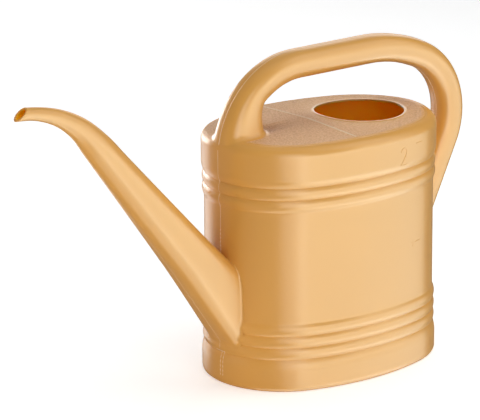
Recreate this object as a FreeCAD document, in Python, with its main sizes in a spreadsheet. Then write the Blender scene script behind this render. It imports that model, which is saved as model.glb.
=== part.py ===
import FreeCAD, Part
import math
import os
import re

import Sketcher

# A two-litre watering can, blown in one shot from a coloured polyolefin.
# The bottle, the spout and the handle are one hollow skin, so every piece below is a
# zone of that skin and meets its neighbours face to face.
# Frame: origin at the centre of the footprint on the ground, +Z up, the spout points
# along -X, and the mould's parting plane is the XZ plane.

DOC = FreeCAD.newDocument("watering_can")
SHEET = DOC.addObject("Spreadsheet::Sheet", "Sizes")
UP = FreeCAD.Vector(0, 0, 1)

SIZES = {
    # skin
    "skin": 1.5,
    # plan of the smooth wall: an oval of four tangent arcs
    "half_length": 82.0,
    "half_width": 56.0,
    "nose_ease": 5.0,
    # base
    "foot_proud": 1.9,
    "base_height": 7.0,
    "base_round": 4.0,
    "rim_width": 5.0,
    "base_rise": 4.5,
    # wall, from the foot up
    "foot_top": 21.8,
    "foot_shoulder": 7.5,
    "bead_pitch": 7.85,
    "bead_height": 1.15,
    "bead_root": 0.2,
    "lower_beads": 3,
    "upper_beads": 2,
    "wall_height": 75.45,
    "band_proud": 1.8,
    "band_shoulder": 6.0,
    "band_height": 8.5,
    # deck: four shallow facets that fall away from a peak on the parting plane
    "peak_back": -9.4,
    "deck_rise": 14.4,
    "front_fall": 0.8,
    "rear_fall": 1.2,
    "side_fall": 2.3,
    "deck_round": 6.5,
    # filler opening
    "filler_back": 33.6,
    "filler_long": 30.2,
    "filler_wide": 28.6,
    "lip_width": 2.2,
    "lip_rise": 0.4,
    # spout: a straight rise, one bend and a mouth
    "knee_out": 119.0,
    "knee_over_deck": 37.9,
    "spout_rise": 50.2,
    "spout_bend": 79.0,
    "mouth_rise": 5.0,
    "mouth_out": 34.3,
    "mouth_slant": 41.3,
    "spout_straight": 188.0,
    "spout_root_deep": 24.7,
    "spout_root_wide": 19.4,
    "spout_collar": 118.7,
    "spout_collar_run": 14.0,
    "neck_share": 0.8,
    "collar_deep": 17.3,
    "collar_wide": 17.0,
    "neck_radius": 10.1,
    "mouth_radius": 4.5,
    "spout_skin": 1.2,
    # handle
    "grip_over_deck": 38.9,
    "grip_front_in": 62.0,
    "grip_back_in": 44.0,
    "grip_wide": 12.3,
    "grip_deep": 9.5,
    "front_bend": 55.0,
    "leg_back_in": 31.0,
    "leg_sink": 4.0,
    "root_wide": 12.9,
    "root_spread": 4.6,
    "root_side_spread": 2.0,
    "root_spread_height": 7.5,
    "rear_sweep": 110.0,
    "rear_sweep_turn": 24.4,
    "rear_bend": 46.0,
    "rear_bend_turn": 90.7,
    "rear_leg": 92.0,
}

# Sizes that follow from the ones above.
DERIVED = {
    "nose_radius": "half_width - nose_ease",
    "side_radius": "((half_length - nose_radius)^2 + half_width^2 - nose_radius^2)"
                   " / (2 * (half_width - nose_radius))",
    "beads_top": "foot_top + lower_beads * bead_pitch",
    "wall_top": "beads_top + wall_height",
    "upper_top": "wall_top + upper_beads * bead_pitch",
    "band_top": "upper_top + band_shoulder + band_height",
    "deck_height": "band_top + deck_rise",
    "knee_reach": "half_length + knee_out",
    "knee_height": "deck_height + knee_over_deck",
    "mouth_reach": "knee_reach + mouth_out",
    "grip_height": "deck_height + grip_over_deck",
    "grip_front": "half_length - grip_front_in",
    "grip_back": "half_length - grip_back_in",
    "leg_back": "half_length - leg_back_in",
    "bead_radius": "(bead_pitch^2 / 4 + bead_height^2) / (2 * bead_height)",
    "foot_curve": "(foot_shoulder^2 + (foot_proud - bead_root)^2)"
                  " / (2 * (foot_proud - bead_root))",
    "band_curve": "(band_shoulder^2 + (band_proud - bead_root)^2)"
                  " / (2 * (band_proud - bead_root))",
}

CELL = re.compile(r"\b(" + "|".join([*SIZES, *DERIVED]) + r")\b")


def fill_sheet():
    row = 1
    for alias, content in [*SIZES.items(), *DERIVED.items()]:
        formula = isinstance(content, str)
        SHEET.set(f"A{row}", alias)
        SHEET.set(f"B{row}", "=" + content if formula else str(content))
        SHEET.setAlias(f"B{row}", alias)
        row += 1
    DOC.recompute()


def cells(text):
    """The expression that reads the sheet for every size named in the text."""
    return CELL.sub(r"Sizes.\1", text)


def size(text):
    """What such an expression comes to, in millimetres or degrees."""
    return float(SHEET.evalExpression(cells(text)))


fill_sheet()


# Sketches and features -------------------------------------------------------------

def new_body(label):
    body = DOC.addObject("PartDesign::Body", label)
    body.Label = label
    return body


def new_sketch(body, name, role, lift="0"):
    """A sketch on one of the body's own origin planes, raised along its normal."""
    plane = next(p for p in body.Origin.OriginFeatures if p.Role == role)
    sketch = body.newObject("Sketcher::SketchObject", name)
    sketch.AttachmentSupport = [(plane, "")]
    sketch.MapMode = "FlatFace"
    sketch.setExpression("AttachmentOffset.Base.z", cells(lift))
    return sketch


def drive(sketch, kind, *references, to):
    """A dimension whose value comes from the sheet."""
    index = sketch.addConstraint(Sketcher.Constraint(kind, *references, size(to)))
    sketch.setExpression(f"Constraints[{index}]", cells(to))


def tie(sketch, kind, *references):
    sketch.addConstraint(Sketcher.Constraint(kind, *references))


def arc(centre_x, centre_y, radius, start, end):
    circle = Part.Circle(FreeCAD.Vector(centre_x, centre_y, 0), UP, radius)
    return Part.ArcOfCircle(circle, start, end)


def oval(body, name, lift="0", proud="0"):
    """The plan of the can: two nose arcs and two side arcs, tangent, from the rear tip round."""
    sketch = new_sketch(body, name, "XY_Plane", lift)
    nose_at = size("half_length - nose_radius")
    side_at = size("side_radius - half_width")
    nose, side = size(f"nose_radius + {proud}"), size(f"side_radius + {proud}")
    turn = math.atan2(side_at, nose_at)
    sketch.addGeometry([
        arc(nose_at, 0, nose, 0, turn),
        arc(0, -side_at, side, turn, math.pi - turn),
        arc(-nose_at, 0, nose, math.pi - turn, math.pi + turn),
        arc(0, side_at, side, math.pi + turn, 2 * math.pi - turn),
        arc(nose_at, 0, nose, -turn, 0),
    ])
    for first in range(4):
        tie(sketch, "Tangent", first, 2, first + 1, 1)
    tie(sketch, "Coincident", 4, 2, 0, 1)
    tie(sketch, "Coincident", 4, 3, 0, 3)
    tie(sketch, "PointOnObject", 0, 1, -1)
    for nose_arc, way in ((0, ""), (2, "-")):
        tie(sketch, "PointOnObject", nose_arc, 3, -1)
        drive(sketch, "DistanceX", -1, 1, nose_arc, 3, to=f"{way}(half_length - nose_radius)")
        drive(sketch, "Radius", nose_arc, to=f"nose_radius + {proud}")
    for side_arc in (1, 3):
        drive(sketch, "Radius", side_arc, to=f"side_radius + {proud}")
    return sketch


def outline(body, name, role, corners, lift="0"):
    """A closed profile. A corner is (x, y), or (x, y, radius) where an arc leads to the next one:
    a plain radius turns left on the way, and one marked "-" turns right."""
    sketch = new_sketch(body, name, role, lift)
    places = [FreeCAD.Vector(size(c[0]), size(c[1]), 0) for c in corners]
    starts = []
    for i, corner in enumerate(corners):
        here, there = places[i], places[(i + 1) % len(corners)]
        if len(corner) == 2:
            sketch.addGeometry(Part.LineSegment(here, there))
            starts.append((1, 2))
            continue
        right = corner[2].startswith("-")
        radius = size(corner[2].lstrip("-"))
        first, last = (there, here) if right else (here, there)
        chord = last - first
        inward = FreeCAD.Vector(-chord.y, chord.x, 0).normalize()
        centre = (first + last) / 2 + inward * math.sqrt(radius ** 2 - chord.Length ** 2 / 4)
        angles = [math.atan2(p.y - centre.y, p.x - centre.x) for p in (first, last)]
        sketch.addGeometry(arc(centre.x, centre.y, radius, *angles))
        starts.append((2, 1) if right else (1, 2))
    for i, corner in enumerate(corners):
        after = (i + 1) % len(corners)
        tie(sketch, "Coincident", i, starts[i][1], after, starts[after][0])
        for kind, text, axis in (("DistanceX", corner[0], -2), ("DistanceY", corner[1], -1)):
            if text == "0":
                tie(sketch, "PointOnObject", i, starts[i][0], axis)
            else:
                drive(sketch, kind, -1, 1, i, starts[i][0], to=text)
        if len(corner) == 3:
            drive(sketch, "Radius", i, to=corner[2].lstrip("-"))
    return sketch


def pad(body, sketch, length):
    feature = body.newObject("PartDesign::Pad", sketch.Name + "_pad")
    feature.Profile = sketch
    feature.setExpression("Length", cells(length))
    return feature


def pocket(body, sketch, depth, upwards):
    feature = body.newObject("PartDesign::Pocket", sketch.Name + "_pocket")
    feature.Profile = sketch
    feature.Reversed = upwards
    feature.setExpression("Length", cells(depth))
    return feature


def ring(label, corners):
    """A band of wall: its profile carried once round the oval."""
    body = new_body(label)
    path = oval(body, label + "_path")
    profile = outline(body, label + "_profile", "XZ_Plane", corners)
    sweep = body.newObject("PartDesign::AdditivePipe", label + "_sweep")
    sweep.Profile = profile
    sweep.Spine = (path, [f"Edge{i + 1}" for i in range(5)])
    return body


def shifted_back(chain, shift):
    """The same line moved inwards, from its far end back to its start."""
    back = []
    for i in reversed(range(len(chain))):
        arc_before = [f"-{radius}" for radius in chain[i - 1][2:]] if i else []
        back.append((f"{chain[i][0]} - {shift}", chain[i][1], *arc_before))
    return back


def skin_ring(label, outside):
    """A band of even wall behind its outer line, which runs from the bottom up."""
    return ring(label, outside + shifted_back(outside, "skin"))


def bead_line(bottom, count):
    """Rolled beads, one arc each."""
    levels = [f"{bottom} + {i} * bead_pitch" for i in range(count + 1)]
    return [(BEAD_FOOT, z, "bead_radius") for z in levels[:-1]] + [(BEAD_FOOT, levels[-1])]


EDGE = "half_length"
FOOT = "half_length + foot_proud"
BAND = "half_length + band_proud"
BEAD_FOOT = "half_length + bead_root"

# How deep the wall runs in the solid form of the tank, and how far its core laps it.
FORM_DEPTH = 10
FORM_OVERLAP = 2

FOOT_LINE = [
    (FOOT, "base_height"),
    (FOOT, "foot_top - foot_shoulder", "foot_curve"),
    (BEAD_FOOT, "foot_top"),
]
LOWER_LINE = bead_line("foot_top", int(SIZES["lower_beads"]))
WALL_LINE = [(EDGE, "beads_top"), (EDGE, "wall_top")]
UPPER_LINE = bead_line("wall_top", int(SIZES["upper_beads"]))
BAND_LINE = [
    (BEAD_FOOT, "upper_top", "band_curve"),
    (BAND, "upper_top + band_shoulder"),
    (BAND, "band_top"),
]

foot_band = skin_ring("foot_band", FOOT_LINE)
lower_beads_ring = skin_ring("lower_beads_ring", LOWER_LINE)
smooth_wall_ring = skin_ring("smooth_wall_ring", WALL_LINE)
upper_beads = skin_ring("upper_beads", UPPER_LINE)
shoulder_band = skin_ring("shoulder_band", BAND_LINE)


def make_tank_form():
    """The wall's outer form as a solid, which the spout and the rear leg end against.
    It runs on below the ground, so that nothing is left under it."""
    wall = FOOT_LINE[1:-1] + LOWER_LINE + WALL_LINE + UPPER_LINE + BAND_LINE[1:]
    bottom = f"-{FORM_DEPTH}"
    inner = [(f"{EDGE} - {FORM_DEPTH}", "band_top"), (f"{EDGE} - {FORM_DEPTH}", bottom)]
    body = ring("tank_form", [(FOOT, bottom)] + wall + inner)
    core = oval(body, "tank_form_core", bottom, f"-{FORM_DEPTH - FORM_OVERLAP}")
    pad(body, core, f"band_top + {FORM_DEPTH}")
    return body


tank_form = make_tank_form()


# Base ------------------------------------------------------------------------------

def edges_where(shape, test):
    return [f"Edge{i + 1}" for i, edge in enumerate(shape.Edges) if test(edge)]


def round_edges(body, radius, test):
    """A fillet on those edges of the body so far that pass the test."""
    DOC.recompute()
    tip = body.Tip
    feature = body.newObject("PartDesign::Fillet", body.Label + "_round")
    feature.Base = (tip, edges_where(tip.Shape, test))
    feature.setExpression("Radius", cells(radius))
    return feature


def make_base():
    """A dished floor on a standing rim, so that the can rests on the rim alone."""
    body = new_body("base")
    pad(body, oval(body, "base_blank", proud="foot_proud"), "base_height")
    round_edges(body, "base_round", lambda e: e.BoundBox.ZMax < 0.01)
    inside = oval(body, "base_inside", "skin", "foot_proud - skin")
    pocket(body, inside, "base_height", upwards=True)
    floor = oval(body, "base_floor", "0", "foot_proud - base_round - rim_width + skin")
    pad(body, floor, "base_rise + skin")
    hollow = oval(body, "base_hollow", "0", "foot_proud - base_round - rim_width")
    pocket(body, hollow, "base_rise", upwards=True)
    return body


base = make_base()


# Deck ------------------------------------------------------------------------------

# How far the cutting shapes run past what they cut.
CUT_SPARE = 20


def facet_profile(body, name, drop):
    """Everything above the deck's ridge line, seen from the side, for a deck lowered by drop."""
    reach = f"(half_length + {CUT_SPARE})"
    peak = f"deck_height - ({drop})"
    front = f"{peak} - ({reach} + peak_back) * tan(front_fall)"
    rear = f"{peak} - ({reach} - peak_back) * tan(rear_fall)"
    top = f"deck_height + {CUT_SPARE}"
    return outline(body, name, "XZ_Plane", [
        ("-" + reach, front), ("peak_back", peak), (reach, rear), (reach, top), ("-" + reach, top),
    ])


def cut_facets(body, drop):
    """Planes the top to two facets on each side, falling away from the parting plane."""
    for side, name in ((-1, "near"), (1, "far")):
        sketch = facet_profile(body, f"{body.Label}_{name}_facets", drop)
        feature = body.newObject("PartDesign::Pocket", f"{body.Label}_{name}_cut")
        feature.Profile = sketch
        feature.UseCustomVector = True
        feature.Direction = (0, side, -math.tan(math.radians(size("side_fall"))))
        feature.setExpression("Direction.z", cells("-tan(side_fall)"))
        feature.setExpression("Length", cells("half_width * 2"))


def deck_block(label, proud, drop, radius):
    """The tank above the wall. A radius rounds its rim, whose edges are all curved ones."""
    body = new_body(label)
    blank = oval(body, label + "_blank", "band_top", proud)
    pad(body, blank, f"deck_height - band_top + {CUT_SPARE / 4}")
    cut_facets(body, drop)
    if radius:
        above = size("band_top + deck_round / 2")
        on_rim = lambda e: e.BoundBox.ZMin > above and not isinstance(e.Curve, Part.Line)
        round_edges(body, radius, on_rim)
    return body


deck_outside = deck_block("deck_outside", "band_proud", "0", "deck_round")
deck_inside = deck_block("deck_inside", "band_proud - skin", "skin", "deck_round - skin")


# Spout and handle: their sections are ovals of four quarter curves --------------------

# How full a quarter curve is when it is round, and a length greater than the whole can.
ROUND = 0.5523
FAR = 600.0


class Frame:
    """A place on a centre line in the parting plane, and the way the line runs there."""

    def __init__(self, x, z, heading):
        self.at = FreeCAD.Vector(x, 0, z)
        self.heading = heading
        angle = math.radians(heading)
        self.ahead = FreeCAD.Vector(math.cos(angle), 0, math.sin(angle))
        self.out = FreeCAD.Vector(-math.sin(angle), 0, math.cos(angle))

    def moved(self, along, out=0.0):
        place = self.at + self.ahead * along + self.out * out
        return Frame(place.x, place.z, self.heading)

    def turned(self, radius, angle):
        """The frame further round an arc, which turns left by a positive angle."""
        side = math.copysign(radius, angle)
        centre = self.at + self.out * side
        after = Frame(0, 0, self.heading + angle)
        place = centre - after.out * side
        return Frame(place.x, place.z, after.heading)


def section(frame, wide, deep, fullness=ROUND):
    """An oval across the centre line: wide to each side, deep each way in the parting plane.
    The fullness runs from 0.55, an ellipse, to 1, a rectangle."""
    across = FreeCAD.Vector(0, wide, 0)
    up = frame.out * deep
    quarters = []
    for a, b in ((across, up), (up, -across), (-across, -up), (-up, across)):
        curve = Part.BezierCurve()
        curve.setPoles([frame.at + a, frame.at + a + b * fullness,
                        frame.at + b + a * fullness, frame.at + b])
        quarters.append(curve.toShape())
    return Part.Wire(quarters)


def beyond(frame):
    """All the space ahead of the plane across the centre line here."""
    box = Part.makeBox(FAR, FAR, FAR, FreeCAD.Vector(0, -FAR / 2, -FAR / 2))
    box.rotate(FreeCAD.Vector(), FreeCAD.Vector(0, 1, 0), -frame.heading)
    box.translate(frame.at)
    return box


def solid_feature(label, shape):
    feature = DOC.addObject("Part::Feature", label)
    feature.Label = label
    feature.Shape = shape
    return feature


def cut(label, base, tools):
    feature = DOC.addObject("Part::Cut", label)
    feature.Label = label
    feature.Base = base
    if len(tools) == 1:
        feature.Tool = tools[0]
    else:
        together = DOC.addObject("Part::MultiFuse", label + "_tools")
        together.Shapes = tools
        feature.Tool = together
    return feature


# Spout -----------------------------------------------------------------------------

# How full the section is at the root and at the collar, how late the neck thins along the
# bend, how far the blank runs past the mouth, and how many steps its sections take.
ROOT_FULLNESS = 0.85
COLLAR_FULLNESS = 0.66
NECK_EASE = 1.6
MOUTH_SPARE = 12.0
SPOUT_SECTIONS = 14


def spout_turn():
    return size("spout_rise - mouth_rise")


def spout_at(distance):
    """The centre line's frame: distance is nought where the bend starts, and negative below."""
    bend, turn = size("spout_bend"), spout_turn()
    knee = Frame(-size("knee_reach"), size("knee_height"), 180 - size("spout_rise"))
    neck = knee.moved(-bend * math.tan(math.radians(turn / 2)))
    if distance <= 0:
        return neck.moved(distance)
    bend_length = bend * math.radians(turn)
    round_bend = min(distance, bend_length)
    return neck.turned(bend, turn * round_bend / bend_length).moved(distance - round_bend)


def between(low, high, share):
    return low + (high - low) * share


def spout_section(distance, inset):
    """Flat-sided and deep at the root, round from the neck on."""
    root_run = size("spout_straight - spout_collar")
    collar_run = size("spout_collar")
    neck, mouth = size("neck_radius"), size("mouth_radius")
    collar = size("collar_wide"), size("collar_deep"), COLLAR_FULLNESS
    if distance < -collar_run:
        root = size("spout_root_wide"), size("spout_root_deep"), ROOT_FULLNESS
        share = -(distance + collar_run) / root_run
        wide, deep, fullness = (between(c, r, share) for c, r in zip(collar, root))
    elif distance < 0:
        share = -distance / collar_run
        wide, deep, fullness = (between(n, c, share) for n, c in zip((neck, neck, ROUND), collar))
    else:
        bend_length = size("spout_bend") * math.radians(spout_turn())
        left = max(0, 1 - distance / bend_length)
        wide = deep = between(mouth, neck, left ** NECK_EASE)
        fullness = ROUND
    return section(spout_at(distance), wide - inset, deep - inset, fullness)


def spout_skin(inset):
    """The spout's outer form, or the bore that lies inset from it."""
    start = -size("spout_straight")
    end = size("spout_bend") * math.radians(spout_turn()) + MOUTH_SPARE
    step = (end - start) / SPOUT_SECTIONS
    places = [start + step * i for i in range(SPOUT_SECTIONS + 1)]
    return Part.makeLoft([spout_section(d, inset) for d in places], True, False)


spout_outside = solid_feature("spout_outside", spout_skin(0))
spout_bore = solid_feature("spout_bore", spout_skin(size("spout_skin")))


# Handle ----------------------------------------------------------------------------

# How full the section is along the handle and at the front leg's root. The front leg: the
# steps its sections take, the turn of the bend where its rear face leaves it, and how far
# its front face stays inside the band below.
HANDLE_FULLNESS = 0.68
LEG_ROOT_FULLNESS = 0.6
LEG_SECTIONS = 8
LEG_STRAIGHT_FROM = 45.0
FRONT_INSET = 0.1


def plane_across(front, rear):
    """The frame half way between two points that face each other across a tube."""
    middle, across = (front + rear) / 2, rear - front
    return Frame(middle.x, middle.z, math.degrees(math.atan2(-across.x, across.z)))


def front_leg(inset):
    """From the grip down the front bend to a root that spreads over the deck. Beyond the turn
    where the rear face runs straight down, the sections tip over to lie level at the deck."""
    wide, deep = size("grip_wide"), size("grip_deep")
    start = Frame(-size("grip_front"), size("grip_height"), 180)
    front_limit = -size("half_length + band_proud") + FRONT_INSET
    spread_top = size("deck_height + root_spread_height")
    bent = start.turned(size("front_bend"), LEG_STRAIGHT_FROM)
    corner = bent.at + bent.out * deep
    end_height = size("band_top + deck_round - grip_height + front_bend")
    end = math.degrees(math.acos(end_height / size("front_bend + grip_deep")))
    wires = []
    for i in range(LEG_SECTIONS + 1):
        turn = end * i / LEG_SECTIONS
        frame = start.turned(size("front_bend"), turn)
        front, rear = frame.at - frame.out * deep, frame.at + frame.out * deep
        here_wide, fullness = wide, HANDLE_FULLNESS
        if turn > LEG_STRAIGHT_FROM:
            share = (turn - LEG_STRAIGHT_FROM) / (end - LEG_STRAIGHT_FROM)
            height = between(corner.z, size("deck_height - leg_sink"), share)
            spread = max(0, (spread_top - height) / size("root_spread_height")) ** 2
            reach = between(corner.x, -size("leg_back"), share) + size("root_spread") * spread
            front.x = max(front.x, front_limit)
            rear = FreeCAD.Vector(reach, 0, height)
            here_wide = between(wide, size("root_wide"), share) + size("root_side_spread") * spread
            fullness = between(HANDLE_FULLNESS, LEG_ROOT_FULLNESS, share)
        half = (rear - front).Length / 2
        plane = plane_across(front, rear)
        wires.append(section(plane, here_wide - inset, half - inset, fullness))
    return Part.makeLoft(wires, True, False)


def grip_path():
    """Straight over the hand, then two bends and a straight run into the rear wall."""
    front = Frame(-size("grip_front"), size("grip_height"), 0)
    back = Frame(size("grip_back"), size("grip_height"), 0)
    swept = back.turned(size("rear_sweep"), -size("rear_sweep_turn"))
    bent = swept.turned(size("rear_bend"), -size("rear_bend_turn"))
    foot = bent.moved(size("rear_leg"))
    return front, back, swept, bent, foot


def arc_edge(frame, radius, angle):
    middle, end = frame.turned(radius, angle / 2), frame.turned(radius, angle)
    return Part.Arc(frame.at, middle.at, end.at).toShape()


def grip_and_rear(inset):
    front, back, swept, bent, foot = grip_path()
    path = Part.Wire([
        Part.makeLine(front.at, back.at),
        arc_edge(back, size("rear_sweep"), -size("rear_sweep_turn")),
        arc_edge(swept, size("rear_bend"), -size("rear_bend_turn")),
        Part.makeLine(bent.at, foot.at),
    ])
    profile = section(front, size("grip_wide") - inset, size("grip_deep") - inset, HANDLE_FULLNESS)
    return path.makePipeShell([profile], True, False)


front_form = solid_feature("handle_front_form", front_leg(0))
front_bore = solid_feature("handle_front_bore", front_leg(size("skin")))
rear_form = solid_feature("handle_rear_form", grip_and_rear(0))
rear_bore = solid_feature("handle_rear_bore", grip_and_rear(size("skin")))


# The pieces ------------------------------------------------------------------------

def slices(outside, bore, names, planes):
    """A tube's skin cut into pieces by planes across it, from its start on."""
    skin = outside.Shape.cut(bore.Shape)
    pieces = []
    for name, plane in zip(names, planes):
        pieces.append(solid_feature(name, skin.cut(beyond(plane))))
        skin = skin.common(beyond(plane))
    pieces.append(solid_feature(names[-1], skin))
    return pieces


def spout_pieces():
    bend_length = size("spout_bend") * math.radians(spout_turn())
    collar_end = spout_at(size("spout_collar_run - spout_collar"))
    mouth_start = spout_at(bend_length * size("neck_share"))
    slant = Frame(-size("mouth_reach"), spout_at(bend_length).at.z, 90 + size("mouth_slant"))
    names = ["spout_root_blank", "spout_tube", "spout_neck", "spout_mouth"]
    pieces = slices(spout_outside, spout_bore, names, [collar_end, spout_at(0), mouth_start])
    pieces[-1].Shape = pieces[-1].Shape.cut(beyond(slant))
    return pieces


def handle_pieces():
    swept, bent = grip_path()[2:4]
    names = ["handle_grip", "handle_rear_bend", "handle_rear_leg_blank"]
    return slices(rear_form, rear_bore, names, [swept, bent])


spout_root_blank, spout_tube, spout_neck, spout_mouth = spout_pieces()
handle_grip, handle_rear_bend, rear_leg_blank = handle_pieces()
front_leg_blank = solid_feature("handle_front_leg_blank", front_form.Shape.cut(front_bore.Shape))

spout_root = cut("spout_root", spout_root_blank, [tank_form])
handle_front_leg = cut("handle_front_leg", front_leg_blank, [deck_outside])
handle_rear_leg = cut("handle_rear_leg", rear_leg_blank, [tank_form])
lower_beads = cut("lower_beads", lower_beads_ring, [spout_bore])
smooth_wall = cut("smooth_wall", smooth_wall_ring, [spout_bore, rear_bore])


def filler_column(name, widening):
    """An upright oval column through the deck at the filler opening."""
    ellipse = DOC.addObject("Part::Ellipse", name + "_outline")
    ellipse.setExpression("MajorRadius", cells(f"filler_long + {widening}"))
    ellipse.setExpression("MinorRadius", cells(f"filler_wide + {widening}"))
    ellipse.setExpression("Placement.Base.x", cells("filler_back"))
    ellipse.setExpression("Placement.Base.z", cells("band_top"))
    column = DOC.addObject("Part::Extrusion", name)
    column.Base = ellipse
    column.Dir = UP
    column.DirMode = "Custom"
    column.Solid = True
    column.setExpression("LengthFwd", cells(f"deck_height - band_top + {CUT_SPARE}"))
    return column


filler_hole = filler_column("filler_hole", "0")
filler_seat = filler_column("filler_seat", "lip_width")
deck = cut("deck", deck_outside, [deck_inside, filler_seat, front_bore])

lip_deck = deck_block("lip_deck", "band_proud", "-lip_rise", None)
lip_blank = DOC.addObject("Part::MultiCommon", "lip_blank")
lip_blank.Shapes = [lip_deck, filler_seat]
filler_lip = cut("filler_lip", lip_blank, [deck_inside, filler_hole])

PIECES = [
    base, foot_band, lower_beads, smooth_wall, upper_beads, shoulder_band, deck, filler_lip,
    spout_root, spout_tube, spout_neck, spout_mouth,
    handle_front_leg, handle_grip, handle_rear_bend, handle_rear_leg,
]


def check_and_write():
    DOC.recompute()
    for thing in DOC.Objects:
        if {"Invalid", "Error"} & set(thing.State):
            raise RuntimeError(f"{thing.Label} failed: {thing.State}")
    os.makedirs("parts", exist_ok=True)
    for piece in PIECES:
        shape = piece.Shape
        if shape.isNull() or not shape.isValid() or not shape.Solids:
            raise RuntimeError(f"{piece.Label} has no sound solid")
        shape.exportStep(f"parts/{piece.Label}.step")
        print(piece.Label, len(shape.Solids), "solid", round(shape.Volume), "mm3")


check_and_write()
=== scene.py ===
import math

import bmesh
import bpy
from mathutils import Matrix, Vector


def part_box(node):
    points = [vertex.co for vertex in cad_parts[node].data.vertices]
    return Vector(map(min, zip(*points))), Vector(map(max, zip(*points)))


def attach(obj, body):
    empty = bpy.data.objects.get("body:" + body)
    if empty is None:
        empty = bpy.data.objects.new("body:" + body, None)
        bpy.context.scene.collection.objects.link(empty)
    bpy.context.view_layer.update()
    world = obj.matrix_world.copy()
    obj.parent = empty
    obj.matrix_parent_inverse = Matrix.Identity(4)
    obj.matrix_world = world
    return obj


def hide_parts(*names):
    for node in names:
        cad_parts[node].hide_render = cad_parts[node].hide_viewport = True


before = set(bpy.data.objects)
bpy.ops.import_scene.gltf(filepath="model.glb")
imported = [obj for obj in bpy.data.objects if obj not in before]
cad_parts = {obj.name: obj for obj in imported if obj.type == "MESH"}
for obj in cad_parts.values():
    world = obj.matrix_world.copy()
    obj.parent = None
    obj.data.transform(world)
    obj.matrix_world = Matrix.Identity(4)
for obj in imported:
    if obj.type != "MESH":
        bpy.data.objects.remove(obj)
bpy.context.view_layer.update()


# Tank --------------------------------------------------------------------------------
# The bottle of the can: dished base, foot, beads, smooth wall and shoulder in one skin of
# honey-coloured polyethylene, blown in two half moulds that meet in a line from front to
# back. Its profile, in millimetres, is carried once round an oval of four tangent arcs.

WALL = 1.5
MM = 1000


def top_of(node):
    """The height of a node of the can's CAD model, in millimetres."""
    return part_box(node)[1].z * MM


HALF_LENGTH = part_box("smooth_wall")[1].x * MM
HALF_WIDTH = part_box("smooth_wall")[1].y * MM
FOOT_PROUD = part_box("foot_band")[1].x * MM - HALF_LENGTH
BAND_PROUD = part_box("shoulder_band")[1].x * MM - HALF_LENGTH
FOOT_TOP, BEADS_TOP, WALL_TOP = top_of("foot_band"), top_of("lower_beads"), top_of("smooth_wall")
UPPER_TOP, BAND_TOP, DECK_PEAK = top_of("upper_beads"), top_of("shoulder_band"), top_of("deck")
NOSE_TIGHTER = 5
NOSE_RADIUS = HALF_WIDTH - NOSE_TIGHTER
NOSE_AT = HALF_LENGTH - NOSE_RADIUS
SIDE_RADIUS = (NOSE_AT ** 2 + HALF_WIDTH ** 2 - NOSE_RADIUS ** 2) / (2 * (HALF_WIDTH - NOSE_RADIUS))
SIDE_AT = SIDE_RADIUS - HALF_WIDTH
NOSE_TURN = math.atan2(SIDE_AT, NOSE_AT)
BEAD_ROOT, BEAD_HEIGHT, BEAD_EASE = 0.2, 1.15, 0.06
BASE_ROUND, RIM_WIDTH, BASE_RISE = 4.0, 5.0, 4.5
FOOT_SHOULDER, BAND_SHOULDER, DECK_ROUND = 7.5, 6.0, 6.5
PEAK_X = -9.4
FRONT_FALL, REAR_FALL, SIDE_FALL = (math.tan(math.radians(a)) for a in (0.8, 1.2, 2.3))
CREASE_EASE, RIDGE_EASE, DECK_BLEND = 0.5, 5.0, 4


def bulge(low, high, radius, steps):
    """Points up an arc that swells outwards, without its last one."""
    (x0, z0), (x1, z1) = low, high
    length = math.hypot(x1 - x0, z1 - z0)
    inset = math.sqrt(radius ** 2 - length ** 2 / 4)
    cx = (x0 + x1) / 2 - (z1 - z0) / length * inset
    cz = (z0 + z1) / 2 + (x1 - x0) / length * inset
    a0, a1 = math.atan2(z0 - cz, x0 - cx), math.atan2(z1 - cz, x1 - cx)
    angles = [a0 + (a1 - a0) * i / steps for i in range(steps)]
    return [(cx + radius * math.cos(a), cz + radius * math.sin(a)) for a in angles]


def rounded_rise(run, rise):
    """The radius of an arc that starts upright and steps in by the run over the rise."""
    return (rise ** 2 + run ** 2) / (2 * run)


def beads(bottom, top, count):
    """Rolled beads, one arc each."""
    pitch = (top - bottom) / count
    radius = (pitch ** 2 / 4 + BEAD_HEIGHT ** 2) / (2 * BEAD_HEIGHT)
    line = []
    for i in range(count):
        z = bottom + i * pitch
        line += bulge((BEAD_ROOT, z), (BEAD_ROOT, z + pitch), radius, 10)
    return line


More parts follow.
